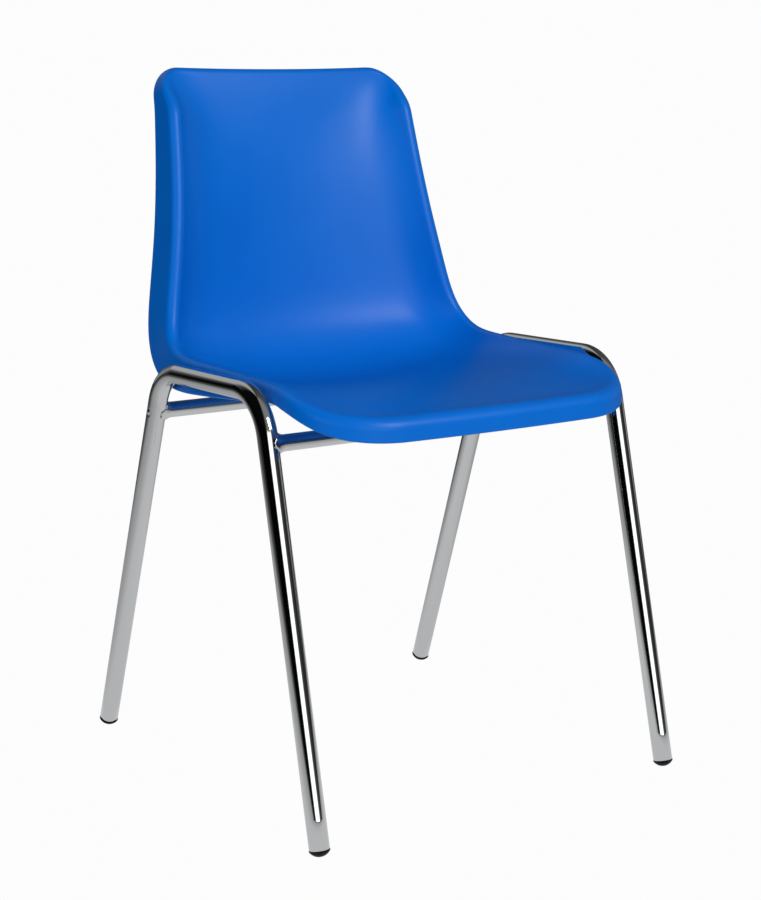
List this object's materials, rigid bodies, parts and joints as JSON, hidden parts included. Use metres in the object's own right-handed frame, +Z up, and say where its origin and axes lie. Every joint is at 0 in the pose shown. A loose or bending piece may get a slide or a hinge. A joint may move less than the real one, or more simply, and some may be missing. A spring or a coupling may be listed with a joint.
{
  "type": "stacking chair",
  "caption": "Stacking chair with a one-piece moulded plastic shell, dished seat and turned-up sides, on two bent tube hoops joined by cross tubes, with domed foot plugs",
  "frame": {"origin": "on the floor, midway between the four feet", "axes": "+Z up, the sitter faces -Y, +X is the sitter's left; the chair is symmetric about the YZ plane"},
  "size_m": [0.4936, 0.5151, 0.797],
  "materials": {
    "shell_plastic": "blue polypropylene, fine moulded grain",
    "chrome_tube": "bright chrome plate",
    "foot_plastic": "black polyethylene",
    "screw_steel": "zinc plated steel"
  },
  "bodies": {
    "root": {"seat_shell": "shell_plastic", "right_side_frame": "chrome_tube", "left_side_frame": "chrome_tube", "front_cross_tube": "chrome_tube", "rear_cross_tube": "chrome_tube", "front_right_foot": "foot_plastic", "front_left_foot": "foot_plastic", "rear_right_foot": "foot_plastic", "rear_left_foot": "foot_plastic", "shell_screws": "screw_steel", "screw_washers": "screw_steel"}
  },
  "joints": []
}
